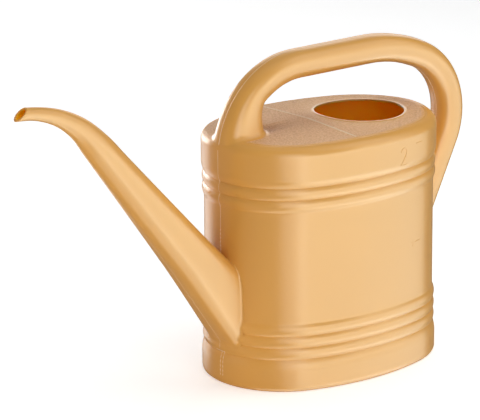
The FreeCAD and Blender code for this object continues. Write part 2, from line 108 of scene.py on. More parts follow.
def wall_profile():
    """(how far proud of the smooth wall, height), from the dish of the base to the deck. The
    upright stretches have points of their own, so that their faces don't get too long."""
    hollow = FOOT_PROUD - BASE_ROUND - RIM_WIDTH
    foot_curve = rounded_rise(FOOT_PROUD - BEAD_ROOT, FOOT_SHOULDER)
    band_curve = rounded_rise(BAND_PROUD - BEAD_ROOT, BAND_SHOULDER)
    line = [(hollow - 9, BASE_RISE), (hollow - 3, BASE_RISE), (hollow - 1.2, BASE_RISE),
            (hollow - 0.35, BASE_RISE - 0.35), (hollow, BASE_RISE - 1.2), (hollow, 0.7),
            (hollow + 0.2, 0.2), (hollow + 0.7, 0)]
    line += [(FOOT_PROUD - BASE_ROUND - 0.8, 0)]
    line += bulge((FOOT_PROUD - BASE_ROUND, 0), (FOOT_PROUD, BASE_ROUND), BASE_ROUND, 8)
    line += [(FOOT_PROUD, z) for z in (4.0, 4.8, 7.0, 10.5, 13.2)]
    line += bulge((FOOT_PROUD, FOOT_TOP - FOOT_SHOULDER), (BEAD_ROOT, FOOT_TOP), foot_curve, 9)
    line += beads(FOOT_TOP, BEADS_TOP, 3)
    line += [(BEAD_ROOT, BEADS_TOP), (BEAD_EASE, BEADS_TOP + 0.5), (0, BEADS_TOP + 1.1)]
    span = WALL_TOP - BEADS_TOP
    line += [(0, BEADS_TOP + span * share) for share in (0.04, 0.15, 0.3, 0.5, 0.7, 0.85, 0.96)]
    line += [(0, WALL_TOP - 1.1), (BEAD_EASE, WALL_TOP - 0.5)]
    line += beads(WALL_TOP, UPPER_TOP, 2)
    line += bulge((BEAD_ROOT, UPPER_TOP), (BAND_PROUD, UPPER_TOP + BAND_SHOULDER), band_curve, 8)
    line += [(BAND_PROUD, z) for z in (UPPER_TOP + BAND_SHOULDER, 143.6, 147.0, BAND_TOP, 155.0)]
    for degrees in (0, 8, 17, 26, 35, 44, 53, 62, 70, 77, 83, 87, 89, 90):
        a = math.radians(degrees)
        line.append((BAND_PROUD - DECK_ROUND * (1 - math.cos(a)),
                     DECK_PEAK - DECK_ROUND * (1 - math.sin(a))))
    return line


def softened(offset, ease):
    """The offset without its sign, with the corner at nought eased."""
    return math.sqrt(offset * offset + ease * ease) - ease


def deck_drop(x, y):
    """How far the deck's four facets have fallen away from their peak."""
    fall = REAR_FALL if x > PEAK_X else FRONT_FALL
    return softened(x - PEAK_X, CREASE_EASE) * fall + softened(y, RIDGE_EASE) * SIDE_FALL


def lay_deck(bm, lowest):
    """Tilts everything above the band to the deck's facets."""
    for v in bm.verts:
        if v.co.z > lowest:
            v.co.z -= deck_drop(v.co.x, v.co.y) * min(1, (v.co.z - lowest) / DECK_BLEND)


def round_the_oval(bm, profile, nose_steps=60, side_steps=36):
    """Carries a wire of the profile once round the oval, from the rear tip."""
    verts = [bm.verts.new((HALF_LENGTH + proud, 0, z)) for proud, z in profile]
    geom = verts + [bm.edges.new(pair) for pair in zip(verts, verts[1:])]
    half_nose, side = NOSE_TURN, math.pi - 2 * NOSE_TURN
    for centre, angle, steps in (
        ((NOSE_AT, 0, 0), half_nose, nose_steps // 2), ((0, -SIDE_AT, 0), side, side_steps),
        ((-NOSE_AT, 0, 0), 2 * half_nose, nose_steps), ((0, SIDE_AT, 0), side, side_steps),
        ((NOSE_AT, 0, 0), half_nose, nose_steps // 2),
    ):
        geom = bmesh.ops.spin(bm, geom=geom, cent=centre, axis=(0, 0, 1), angle=angle,
                              steps=steps)["geom_last"]
    bmesh.ops.remove_doubles(bm, verts=bm.verts, dist=0.001)


def finish_mesh(bm, name, sharp=40):
    """The piece at the origin in metres, smooth but for the edges past the sharp angle."""
    bmesh.ops.scale(bm, vec=(1 / MM,) * 3, verts=bm.verts)
    for face in bm.faces:
        face.smooth = True
    for edge in bm.edges:
        edge.smooth = len(edge.link_faces) != 2 or edge.calc_face_angle(0) < math.radians(sharp)
    mesh = bpy.data.meshes.new(name)
    bm.to_mesh(mesh)
    bm.free()
    piece = bpy.data.objects.new(name, mesh)
    bpy.context.collection.objects.link(piece)
    return piece


def lay_share(piece, name, amount):
    """A share from 0 to 1 at each point of the piece, which its material reads by name."""
    layer = piece.data.attributes.new(name, "FLOAT", "POINT")
    layer.data.foreach_set("value", [amount(v.co * MM) for v in piece.data.vertices])


def eased_step(low, high, value):
    """Nought below the low value, one above the high one, and an easy rise between."""
    share = min(1, max(0, (value - low) / (high - low)))
    return share * share * (3 - 2 * share)


GRAIN_SIDE, GRAIN_EDGE = (-10, 30), (DECK_PEAK - 4.5, DECK_PEAK - 0.4)


def rim_grain(p):
    """The grain runs on over the rolled edge on one side, and stops short of it on the other."""
    height = p.z + deck_drop(p.x, p.y)
    return eased_step(*GRAIN_EDGE, height) * eased_step(*GRAIN_SIDE, p.y)


def give_wall(piece, thickness=WALL):
    """Thickens a piece inwards. Its inner face takes the second finish."""
    shell = piece.modifiers.new("wall", "SOLIDIFY")
    shell.material_offset = 1
    shell.thickness, shell.offset = thickness / MM, -1
    shell.use_even_offset, shell.use_quality_normals = True, True


def honey_skin(name, light, dark, glow=0.0, grained=False):
    """Polyethylene straight from the mould: a soft waxy gloss with slight flow clouds and a
    faint peel, a glow where light comes through the wall, and a spark-eroded grain where the
    mould was textured. The grain's speckle is paler and greyer than the skin, partly painted
    sheen, and the crease and the filler's cut edge get a painted highlight."""
    material = bpy.data.materials.new(name)
    material.use_nodes = True
    nodes, links = material.node_tree.nodes, material.node_tree.links
    place = nodes.new("ShaderNodeTexCoord")
    shader = nodes["Principled BSDF"]
    for socket, value in (("IOR", 1.5), ("Specular IOR Level", 0.9), ("Subsurface Weight", glow),
                          ("Subsurface Radius", (1.0, 0.45, 0.03)), ("Subsurface Scale", 0.008)):
        shader.inputs[socket].default_value = value

    def noise(scale, detail, roughness=0.5):
        """Noise that stays with the piece."""
        node = nodes.new("ShaderNodeTexNoise")
        node.inputs["Scale"].default_value = scale
        node.inputs["Detail"].default_value = detail
        node.inputs["Roughness"].default_value = roughness
        links.new(place.outputs["Object"], node.inputs["Vector"])
        return node.outputs["Fac"]

    def coloured(source, low, high, easing="LINEAR"):
        """A colour by the source, where low and high each give a level and its colour."""
        node = nodes.new("ShaderNodeValToRGB")
        node.color_ramp.interpolation = easing
        for stop, (level, colour) in zip(node.color_ramp.elements, (low, high)):
            stop.position, stop.color = level, colour
        links.new(source, node.inputs["Fac"])
        return node.outputs["Color"]

    def bumped(height, strength, distance):
        """Relief by the height, of that much strength and that many metres deep."""
        node = nodes.new("ShaderNodeBump")
        node.inputs["Strength"].default_value = strength
        node.inputs["Distance"].default_value = distance
        links.new(height, node.inputs["Height"])
        return node

    def share_of(attribute):
        """The share that lay_share left on the piece."""
        node = nodes.new("ShaderNodeAttribute")
        node.attribute_name = attribute
        return node.outputs["Fac"]

    def mixed(kind, share, first, second):
        """The first where the share is nought, and the second, a source or a value, at one."""
        node = nodes.new("ShaderNodeMix")
        node.data_type = kind
        links.new(share, node.inputs["Factor"])
        links.new(first, node.inputs["A"])
        if isinstance(second, bpy.types.NodeSocket):
            links.new(second, node.inputs["B"])
        else:
            node.inputs["B"].default_value = second
        return node.outputs["Result"]

    clouds = noise(18, 3)
    colour = coloured(clouds, (0.2, dark), (0.8, light), easing="EASE")
    peel = bumped(noise(420, 2), 0.12, 0.0003)
    rough = nodes.new("ShaderNodeMapRange")
    rough.inputs["To Min"].default_value, rough.inputs["To Max"].default_value = 0.285, 0.33
    links.new(clouds, rough.inputs["Value"])
    roughness, relief = rough.outputs["Result"], peel.outputs["Normal"]

    if grained:
        grain, pits = share_of("grain"), noise(800, 3, roughness=0.6)
        depth = nodes.new("ShaderNodeMath")
        depth.operation = "MULTIPLY"
        links.new(pits, depth.inputs[0])
        links.new(grain, depth.inputs[1])
        pitted = bumped(depth.outputs["Value"], 0.9, 0.0012)
        links.new(relief, pitted.inputs["Normal"])
        # The speckle is the grain's random tone, painted paler and greyer than the skin. It is
        # partly painted sheen of the rough grain.
        speckle_and_sheen = coloured(pits, (0.40, (0.72, 0.400, 0.185, 1)), (0.60, (0.90, 0.560, 0.310, 1)))
        grain_and_sheen = mixed("RGBA", grain, colour, speckle_and_sheen)
        # Painted highlight: the edge share lightens the crease and the filler's cut edge to a pale
        # cream.
        colour = mixed("RGBA", share_of("edge"), grain_and_sheen, (1.0, 0.84, 0.66, 1))
        roughness = mixed("FLOAT", grain, roughness, 0.62)
        relief = pitted.outputs["Normal"]

    links.new(colour, shader.inputs["Base Color"])
    links.new(roughness, shader.inputs["Roughness"])
    links.new(relief, shader.inputs["Normal"])
    return material


def give_finish(piece, *finishes):
    """The finish of the piece's outer face, then the one of its inner face if it shows."""
    for finish in finishes:
        piece.data.materials.append(finish)


HONEY = {"light": (0.79, 0.398, 0.084, 1), "dark": (0.775, 0.387, 0.080, 1)}
grained_finish = honey_skin("grained_honey_skin", **HONEY, grained=True)
# The inner face is a brighter, deeper orange than the outer skin. This is a painted glow of the
# light that comes through the wall, on top of the subsurface glow.
inner_painted_glow = honey_skin("inner_honey_skin_painted_glow", (1.0, 0.45, 0.010, 1), (0.98, 0.42, 0.008, 1),
                          glow=1.0)

PROFILE = wall_profile()
tank_bm = bmesh.new()
round_the_oval(tank_bm, PROFILE)
floor_rim = [e for e in tank_bm.edges if e.is_boundary and e.verts[0].co.z < BASE_RISE + 0.1]
bmesh.ops.contextual_create(tank_bm, geom=floor_rim)
bmesh.ops.recalc_face_normals(tank_bm, faces=tank_bm.faces)
if next(f for f in tank_bm.faces if len(f.verts) > 9).normal.z > 0:
    bmesh.ops.reverse_faces(tank_bm, faces=tank_bm.faces)
lay_deck(tank_bm, BAND_TOP)
tank = finish_mesh(tank_bm, "tank_skin")
give_wall(tank)
give_finish(tank, grained_finish, inner_painted_glow)
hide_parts("base", "foot_band", "lower_beads", "smooth_wall", "upper_beads",
            "shoulder_band")
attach(tank, "root")


# Deck --------------------------------------------------------------------------------
# The top of the same skin: four grained facets that fall away from a raised crease across
# the can, and the filler opening, cut out after moulding, with a low smooth lip round it.

FILLER_X = sum(c.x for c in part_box("filler_lip")) / 2 * MM
SEAT = [(high - low) / 2 * MM for low, high in zip(*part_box("filler_lip"))][:2]
LIP_WIDTH, LIP_RISE = 2.2, 0.4
CREASE_HALF, CREASE_RISE = 1.0, 0.6
CREASE_END, SMOOTH_BORDER = HALF_WIDTH - 5, (6.4, 10.4)


def on_crease(p, ease, short=0):
    """One along the top of the crease, nought at its foot, and eased away at its ends."""
    near = max(0, 1 - abs(p.x - PEAK_X) / CREASE_HALF)
    return near * eased_step(0, ease, CREASE_END - short - abs(p.y))


def seat_ring(bm, steps=192):
    """The outline of the filler's seat, as edges."""
    made = bmesh.ops.create_circle(bm, segments=steps, radius=1)["verts"]
    bmesh.ops.scale(bm, vec=(*SEAT, 1), verts=made)
    bmesh.ops.translate(bm, vec=(FILLER_X, 0, DECK_PEAK), verts=made)
    return [e for e in bm.edges if e.verts[0] in made and e.verts[1] in made]


def open_loop(first):
    """The open edges that run on from the first, all the way round."""
    loop, seen = [first], {first}
    while True:
        after = [e for v in loop[-1].verts for e in v.link_edges if e.is_boundary and e not in seen]
        if not after:
            return loop
        loop.append(after[0])
        seen.add(after[0])


deck_bm = bmesh.new()
ROLL_END = PROFILE[-1][0]
round_the_oval(deck_bm, [PROFILE[-1], (ROLL_END - 1.5, DECK_PEAK), (ROLL_END - 4, DECK_PEAK)])
innermost = min((e for e in deck_bm.edges if e.is_boundary), key=lambda e: e.verts[0].co.xy.length)
bmesh.ops.bridge_loops(deck_bm, edges=open_loop(innermost) + seat_ring(deck_bm))
# Cuts along the crease and beside the ridge give the deck points to fall away from.
for normal, places in (
    ((1, 0, 0), [PEAK_X + d for d in (-2.2, -CREASE_HALF, 0, CREASE_HALF, 2.2)]),
    ((0, 1, 0), [-16, -9, -4, 0, 4, 9, 16]),
):
    for place in places:
        bmesh.ops.bisect_plane(deck_bm, geom=[*deck_bm.verts, *deck_bm.edges, *deck_bm.faces],
                               plane_co=Vector(normal) * place, plane_no=normal, dist=0.0001)
for offset, rise in ((0.25, 0.28), (0.55, LIP_RISE), (LIP_WIDTH - 0.3, LIP_RISE),
                     (LIP_WIDTH - 0.1, LIP_RISE - 0.06), (LIP_WIDTH, LIP_RISE - 0.2)):
    rim = [e for e in deck_bm.edges if e.is_boundary
           and math.hypot((e.verts[0].co.x - FILLER_X) / SEAT[0], e.verts[0].co.y / SEAT[1]) < 1.01]
    lip = bmesh.ops.extrude_edge_only(deck_bm, edges=rim)["geom"]
    for v in (g for g in lip if isinstance(g, bmesh.types.BMVert)):
        way = Vector(((v.co.x - FILLER_X) / SEAT[0], v.co.y / SEAT[1])).normalized()
        v.co = (FILLER_X + way.x * (SEAT[0] - offset), way.y * (SEAT[1] - offset),
                DECK_PEAK + rise)
bmesh.ops.recalc_face_normals(deck_bm, faces=deck_bm.faces)
if max(deck_bm.faces, key=lambda f: f.calc_area()).normal.z < 0:
    bmesh.ops.reverse_faces(deck_bm, faces=deck_bm.faces)
for v in deck_bm.verts:
    v.co.z += CREASE_RISE * on_crease(v.co, 6) - deck_drop(v.co.x, v.co.y)
deck = finish_mesh(deck_bm, "deck_skin")
give_wall(deck)
give_finish(deck, grained_finish, inner_painted_glow)
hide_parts("deck", "filler_lip")
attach(deck, "root")


def from_seat(p):
    """How far outside the filler's seat a point of the deck lies."""
    around = math.hypot((p.x - FILLER_X) / SEAT[0], p.y / SEAT[1])
    return (around - 1) * min(SEAT)


def plan_reach(x, y):
    """Distance outside the smooth wall's oval, negative within it."""
    x, y = abs(x), abs(y)
    if x * SIDE_AT < (y + SIDE_AT) * NOSE_AT:
        return math.hypot(x, y + SIDE_AT) - SIDE_RADIUS
    return math.hypot(x - NOSE_AT, y) - NOSE_RADIUS


def deck_grain(p):
    """All of the facets but a smooth border on one side. The lip and the crease are smooth."""
    border = max(eased_step(*SMOOTH_BORDER, BAND_PROUD - plan_reach(p.x, p.y)),
                 eased_step(*GRAIN_SIDE, p.y))
    return min(eased_step(-0.2, 0.2, from_seat(p)), 1 - on_crease(p, 4, short=1), border)


def deck_painted_highlight(p):
    """A painted highlight on the crease and on the cut edge of the filler, stronger on the near
    half of the crease.
    """
    cut = 1 - eased_step(-LIP_WIDTH + 0.3, -LIP_WIDTH + 1.0, from_seat(p))
    return max(on_crease(p, 4, short=1) * (1.0 if p.y < 0 else 0.7), 0.4 * cut)


# Spout -------------------------------------------------------------------------------
# A long tapering branch of the skin that leaves the front wall flat-sided and deep, draws
# in to a round neck, bends over once and ends in a mouth cut off aslant after moulding.

SPOUT_SKIN = 1.2
KNEE = (-201.18, 203.6)
SPOUT_RISE, MOUTH_RISE, SPOUT_BEND = 50.32, 4.9, 72.3
SPOUT_STRAIGHT, SPOUT_COLLAR, PAST_MOUTH = 188.0, 118.7, 12
ROOT, COLLAR = (18.3, 21.0, 1.0), (16.8, 15.4, 0.78)
NECK, MOUTH, MOUTH_TAPER, ROUND_SECTION = 9.5, 4.1, 1.64, 0.5523
SPOUT_TURN = SPOUT_RISE - MOUTH_RISE
BEND_RUN = SPOUT_BEND * math.radians(SPOUT_TURN)
MOUTH_SLANT, MOUTH_AT = 41.3, 236.4
CUT_ROUND, CUT_CLEAR, CUT_STEPS = 0.5, 0.55, 8
SPOUT_SECTIONS, SPOUT_STEPS = 14, 60
OUTER_CLEAR, BORE_CLEAR, ROOT_STEPS = 14, 12, 40

# The spout and the handle are made alike. Rings of as many points are carried down each, and
# every lengthwise line ends where it meets the tank, on a small fillet left by the mould.

LINES = 64
RING_STEPS = 8


def frame_at(x, z, heading):
    """A place in the parting plane, as (at, way ahead, way out, heading in degrees)."""
    a = math.radians(heading)
    return (Vector((x, 0, z)), Vector((math.cos(a), 0, math.sin(a))),
            Vector((-math.sin(a), 0, math.cos(a))), heading)


def moved(place, along):
    """Straight on by that much."""
    at = place[0] + place[1] * along
    return frame_at(at.x, at.z, place[3])


def turned(place, radius, angle):
    """Further round an arc, which turns left by a positive angle."""
    side = math.copysign(radius, angle)
    after = frame_at(0, 0, place[3] + angle)
    at = place[0] + place[2] * side - after[2] * side
    return frame_at(at.x, at.z, after[3])


def oval_ring(at, out, wide, deep, fullness):
    """Points round an oval of four quarter curves. 0.55 full is an ellipse, and 1 a rectangle
    with well-rounded corners."""
    across, up = Vector((0, wide, 0)), out * deep
    ring = []
    for a, b in ((across, up), (up, -across), (-across, -up), (-up, across)):
        for i in range(LINES // 4):
            t = i / (LINES // 4)
            poles = (a, a + b * fullness, b + a * fullness, b)
            weights = ((1 - t) ** 3, 3 * t * (1 - t) ** 2, 3 * t * t * (1 - t), t ** 3)
            ring.append(at + sum((p * w for p, w in zip(poles, weights)), Vector()))
    return ring


def between(low, high, share):
    """The value a share of the way from the low one to the high one."""
    return low + (high - low) * share


def smooth_through(rings, steps):
    """More rings, on smooth curves through the given ones."""
    ends = [[a * 2 - b for a, b in zip(rings[0], rings[1])],
            [a * 2 - b for a, b in zip(rings[-1], rings[-2])]]
    padded = [ends[0], *rings, ends[1]]
    made = []
    for r0, r1, r2, r3 in zip(padded, padded[1:], padded[2:], padded[3:]):
        for i in range(steps):
            t = i / steps
            w = ((-t + 2 * t * t - t ** 3) / 2, (2 - 5 * t * t + 3 * t ** 3) / 2,
                 (t + 4 * t * t - 3 * t ** 3) / 2, (t ** 3 - t * t) / 2)
            made.append([a * w[0] + b * w[1] + c * w[2] + d * w[3]
                         for a, b, c, d in zip(r0, r1, r2, r3)])
    return made + [rings[-1]]


WALL_LINE = [p for p in PROFILE if BASE_ROUND <= p[1] <= BAND_TOP and p[0] > -0.5]


def wall_proud(z):
    """How far proud of the smooth wall the tank's profile stands at a height."""
    for (x0, z0), (x1, z1) in zip(WALL_LINE, WALL_LINE[1:]):
        if z <= z1:
            return between(x0, x1, max(0, (z - z0) / (z1 - z0)))
    return BAND_PROUD


def outside(p):
    """Distance outside the tank's skin, negative within it."""
    if p.z < BAND_TOP:
        return plan_reach(p.x, p.y) - wall_proud(p.z)
    u = plan_reach(p.x, p.y) - BAND_PROUD + DECK_ROUND
    v = p.z - DECK_PEAK + deck_drop(p.x, p.y) + DECK_ROUND
    return min(max(u, v), 0) + math.hypot(max(u, 0), max(v, 0)) - DECK_ROUND


def skin_normal(p, step=0.4):
    """The way straight out from the tank's skin."""
    ways = [Vector((step, 0, 0)), Vector((0, step, 0)), Vector((0, 0, step))]
    return Vector([outside(p + w) - outside(p - w) for w in ways]).normalized()


def cut_at(line, level):
    """A line of points that runs into the tank, ended where it is the level outside it."""
    for i, p in enumerate(line):
        if outside(p) <= level and i:
            a, b = line[i - 1], p
            for _ in range(12):
                middle = (a + b) / 2
                a, b = (middle, b) if outside(middle) > level else (a, middle)
            return line[:i] + [(a + b) / 2]
    return line


def trimmed(line, length):
    """The line without that length of its end."""
    line = list(line)
    while length > 0 and len(line) > 1:
        last = (line[-1] - line[-2]).length
        if last > length:
            line[-1] = line[-1] + (line[-2] - line[-1]) * (length / last)
            break
        line.pop()
        length -= last
    return line


def spread_evenly(line, count):
    """So many even steps along a line of points."""
    lengths = [0]
    for a, b in zip(line, line[1:]):
        lengths.append(lengths[-1] + (b - a).length)
    made, i = [], 0
    for k in range(count + 1):
        want = lengths[-1] * k / count
        while i < len(line) - 2 and lengths[i + 1] < want:
            i += 1
        share = (want - lengths[i]) / max(1e-9, lengths[i + 1] - lengths[i])
        made.append(line[i].lerp(line[i + 1], min(1, share)))
    return made


def root_rings(rings, fillet, run_steps=16, fillet_steps=7, tuck=0.03):
    """Rings from the first of these down to the tank and out onto its skin. The fillet tells
    each line's size from the place where that line meets the tank."""
    lines = [list(line) for line in zip(*rings)]
    ended = [cut_at(line, 0) for line in lines]
    hits = [line[-1] for line in ended]
    middle = sum(hits, Vector()) / len(hits)
    made = []
    for i, line in enumerate(ended):
        hit, normal = hits[i], skin_normal(hits[i])
        along = hits[(i + 1) % LINES] - hits[i - 1]
        away = along.cross(normal).normalized()
        if away.dot(hit - middle) < 0:
            away = -away
        reach = fillet(hit)
        start = trimmed(line, reach)
        end = hit + away * reach
        for _ in range(3):
            end -= skin_normal(end) * outside(end)
        end -= skin_normal(end) * tuck
        points = spread_evenly(start, run_steps)
        for k in range(1, fillet_steps + 1):
            t = k / fillet_steps
            points.append(points[run_steps] * (1 - t) ** 2 + hit * 2 * t * (1 - t) + end * t * t)
        made.append(points)
    return [list(ring) for ring in zip(*made)]


def bore_rings(rings, run_steps=16, depth=-0.03):
    """The bore's rings down to the tank's skin."""
    lines = [spread_evenly(cut_at(list(line), depth), run_steps) for line in zip(*rings)]
    return [list(ring) for ring in zip(*lines)]


def carried(rings, closed, bore_from=None):
    """A tube through the rings, made by extruding the first from one to the next. Closed
    "round" it runs back to its start, and "ends" gives it flat ends. From the bore's first
    ring on it has the inner finish."""
    bm = bmesh.new()
    line_of = bm.verts.layers.int.new("line")
    made = bmesh.ops.create_circle(bm, segments=LINES, radius=1)["verts"]
    for i, v in enumerate(made):
        v[line_of] = i
        v.co = rings[0][i]
    first = edges = list(bm.edges)
    for i, ring in enumerate(rings[1:]):
        grown = bmesh.ops.extrude_edge_only(bm, edges=edges)["geom"]
        for v in (g for g in grown if isinstance(g, bmesh.types.BMVert)):
            v.co = ring[v[line_of]]
        for face in (g for g in grown if isinstance(g, bmesh.types.BMFace)):
            face.material_index = int(bore_from is not None and i >= bore_from)
        edges = [g for g in grown if isinstance(g, bmesh.types.BMEdge)]
    if closed == "round":
        bmesh.ops.bridge_loops(bm, edges=[*first, *edges])
    else:
        bmesh.ops.contextual_create(bm, geom=first)
        bmesh.ops.contextual_create(bm, geom=edges)
    bmesh.ops.remove_doubles(bm, verts=bm.verts, dist=0.0001)
    bmesh.ops.recalc_face_normals(bm, faces=bm.faces)
    return bm


def bore_through(pieces, rings):
    """Opens a bore through the skin of these pieces."""
    cutter = finish_mesh(carried(rings, closed="ends"), "bore_cutter")
    for piece in pieces:
        hole = piece.modifiers.new("bore", "BOOLEAN")
        hole.object, hole.operation, hole.solver = cutter, "DIFFERENCE", "EXACT"
        bpy.context.view_layer.update()
        cut = bpy.data.meshes.new_from_object(
            piece.evaluated_get(bpy.context.evaluated_depsgraph_get()))
        piece.modifiers.clear()
        piece.data = cut
    bpy.data.objects.remove(cutter)


def spout_place(distance):
    """The centre line: nought where the bend starts, negative below it."""
    knee = frame_at(*KNEE, 180 - SPOUT_RISE)
    neck = moved(knee, -SPOUT_BEND * math.tan(math.radians(SPOUT_TURN / 2)))
    if distance <= 0:
        return moved(neck, distance)
    bent = min(distance, BEND_RUN)
    return moved(turned(neck, SPOUT_BEND, SPOUT_TURN * bent / BEND_RUN), distance - bent)


def spout_ring(distance, inset):
    """The section there: full at the root, rounder at the collar, round from the neck on."""
    if distance < -SPOUT_COLLAR:
        share = -(distance + SPOUT_COLLAR) / (SPOUT_STRAIGHT - SPOUT_COLLAR)
        wide, deep, full = (between(c, r, share) for c, r in zip(COLLAR, ROOT))
    elif distance < 0:
        share = -distance / SPOUT_COLLAR
        wide, deep, full = (between(n, c, share)
                            for n, c in zip((NECK, NECK, ROUND_SECTION), COLLAR))
    else:
        left = max(0, 1 - distance / BEND_RUN)
        wide = deep = between(MOUTH, NECK, left ** MOUTH_TAPER)
        full = ROUND_SECTION
    at, _, out, _ = spout_place(distance)
    return oval_ring(at, out, wide - inset, deep - inset, full)


def spout_rings(inset):
    """Rings from past the mouth down into the tank."""
    step = (SPOUT_STRAIGHT + BEND_RUN + PAST_MOUTH) / SPOUT_SECTIONS
    places = [BEND_RUN + PAST_MOUTH - step * i for i in range(SPOUT_SECTIONS + 1)]
    return smooth_through([spout_ring(d, inset) for d in places], RING_STEPS)


SLANT = math.radians(90 + MOUTH_SLANT)
SLANT_WAY = Vector((math.cos(SLANT), 0, math.sin(SLANT)))


def cut_aslant(rings):
    """Starts every line on the slanting plane of the mouth, short of it by the lip's round."""
    at = Vector((-MOUTH_AT, 0, spout_place(BEND_RUN)[0].z)) - SLANT_WAY * CUT_CLEAR
    lines = []
    for line in zip(*rings):
        for i, p in enumerate(line):
            ahead = (p - at).dot(SLANT_WAY)
            if ahead < 0:
                before = (line[i - 1] - at).dot(SLANT_WAY)
                lines.append([line[i - 1].lerp(p, before / (before - ahead)), *line[i:]])
                break
    return lines


def spout_runs(inset, clear):
    """Even rings from the mouth to where the root begins, and the rings that lead into it."""
    upper, lower = [], []
    for line in cut_aslant(spout_rings(inset)):
        keep = [p for p in line if outside(p) > clear]
        upper.append(spread_evenly(keep, SPOUT_STEPS))
        lower.append([keep[-1], *line[len(keep):]][:ROOT_STEPS])
    return [list(ring) for ring in zip(*upper)], list(zip(*lower))


def spout_fillet(hit):
    """Tight over the top of the root and easier underneath."""
    return between(2.2, 1.5, eased_step(35, 80, hit.z))


outer_upper, into_tank = spout_runs(0, OUTER_CLEAR)
outer_lower = root_rings(into_tank, spout_fillet)
bore_upper, into_tank = spout_runs(SPOUT_SKIN, BORE_CLEAR)
bore_lower = bore_rings(into_tank)
cut_rings = []
for k in range(1, CUT_STEPS):
    a = math.pi * k / CUT_STEPS
    cut_rings.append([o.lerp(b, (1 - math.cos(a)) / 2) + SLANT_WAY * CUT_ROUND * math.sin(a)
                      for o, b in zip(outer_upper[0], bore_upper[0])])
down_and_in = [*reversed(cut_rings), *outer_upper, *outer_lower[1:], *reversed(bore_lower)]
spout_bm = carried([*down_and_in, *reversed(bore_upper[:-1])], closed="round",
                   bore_from=len(down_and_in) - 1)
spout = finish_mesh(spout_bm, "spout_skin", sharp=70)
smooth_finish = honey_skin("honey_skin", **HONEY)
give_finish(spout, smooth_finish, inner_painted_glow)
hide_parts("spout_root", "spout_tube", "spout_neck", "spout_mouth")
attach(spout, "root")
bore_through([tank], spout_rings(SPOUT_SKIN)[ROOT_STEPS:])


# Handle ------------------------------------------------------------------------------
# A hollow loop of the same skin, full-sided for the hand. It rises from a spread root on
# the front of the deck, runs level over the filler and comes down into the rear wall.

GRIP_WIDE, GRIP_DEEP, FLASH = 10.3, 9.4, 0.2
GRIP_HEIGHT, GRIP_FRONT, GRIP_BACK = 204.3, 20.0, 38.0
HANDLE_FULL, LEG_FULL = 0.74, 0.7
HANDLE_CLEAR = 9
FRONT_BEND, LEG_SECTIONS, LEG_TURN = 55.0, 8, 45
LEG_BACK, LEG_WIDE, LEG_SINK, LEG_INSIDE = 51.0, 12.7, 4, 0.1
SPREAD_FROM, SPREAD_BACK, SPREAD_SIDE = 7.5, 1.2, 0.4
REAR_SWEEP, REAR_BEND, REAR_LEG, REAR_FILLET = (110.0, -24.5), (45.3, -91.1), 92.0, 3.0
GRIP_STEPS, SWEEP_STEPS, BEND_STEPS, REAR_STEPS = 14, 16, 32, 46


def front_leg_ring(turn, last_turn, inset):
    """The section after a turn of the front bend. Past the leg's corner its rear face runs
    down straight and its front face stays inside the band below, and it spreads at the foot."""
    deep = GRIP_DEEP - FLASH
    start = frame_at(-GRIP_FRONT, GRIP_HEIGHT, 180)
    at, _, out, _ = turned(start, FRONT_BEND, LEG_TURN)
    corner = at + out * GRIP_DEEP
    at, _, out, _ = turned(start, FRONT_BEND, turn) if turn else start
    front, rear = at - out * deep, at + out * deep
    wide, full = GRIP_WIDE, HANDLE_FULL
    if turn > LEG_TURN:
        share = (turn - LEG_TURN) / (last_turn - LEG_TURN)
        height = between(corner.z, DECK_PEAK - LEG_SINK, share)
        spread = max(0, (DECK_PEAK + SPREAD_FROM - height) / SPREAD_FROM) ** 2
        front.x = max(front.x, -(HALF_LENGTH + BAND_PROUD) + LEG_INSIDE)
        rear = Vector((between(corner.x, -LEG_BACK, share) + SPREAD_BACK * spread, 0, height))
        wide = between(GRIP_WIDE, LEG_WIDE, share) + SPREAD_SIDE * spread
        full = between(HANDLE_FULL, LEG_FULL, share)
    across = rear - front
    return oval_ring((front + rear) / 2, across.normalized(), wide - inset,
                     across.length / 2 - inset, full)


def front_rings(inset):
    """From the grip down to just inside the deck."""
    rise = BAND_TOP + DECK_ROUND - GRIP_HEIGHT + FRONT_BEND
    last = math.degrees(math.acos(rise / (FRONT_BEND + GRIP_DEEP)))
    turns = [last * i / LEG_SECTIONS for i in range(LEG_SECTIONS + 1)]
    rings = [front_leg_ring(turn, last, inset) for turn in turns]
    before = [p + Vector((FRONT_BEND * math.radians(last / LEG_SECTIONS), 0, 0)) for p in rings[0]]
    return smooth_through([before, *rings], RING_STEPS)[RING_STEPS:]


def rear_rings(inset):
    """From the grip's front end over the hand and down into the rear wall."""
    grip = GRIP_FRONT + GRIP_BACK
    places = [frame_at(-GRIP_FRONT + grip * i / GRIP_STEPS, GRIP_HEIGHT, 0)
              for i in range(GRIP_STEPS + 1)]
    for (radius, angle), steps in ((REAR_SWEEP, SWEEP_STEPS), (REAR_BEND, BEND_STEPS)):
        start = places[-1]
        places += [turned(start, radius, angle * (i + 1) / steps) for i in range(steps)]
    start = places[-1]
    places += [moved(start, REAR_LEG * (i + 1) / REAR_STEPS) for i in range(REAR_STEPS)]
    return [oval_ring(at, out, GRIP_WIDE - inset, GRIP_DEEP - FLASH - inset, HANDLE_FULL)
            for at, _, out, _ in places]


def turned_over(rings):
    """The same rings with their points running the other way round."""
    return [[ring[-i % LINES] for i in range(LINES)] for ring in rings]


def leg_fillet(hit):
    """Wider where the leg runs down the front of the can."""
    return between(5.0, 3.2, eased_step(-82, -72, hit.x))


def rear_fillet(hit):
    """The same all round."""
    return REAR_FILLET


def parted(rings, clear):
    """A run of rings that all stay clear of the tank, and the rest that lead into it."""
    first = next(i for i, ring in enumerate(rings) if min(outside(p) for p in ring) < clear)
    return rings[:first], rings[first - 1:]


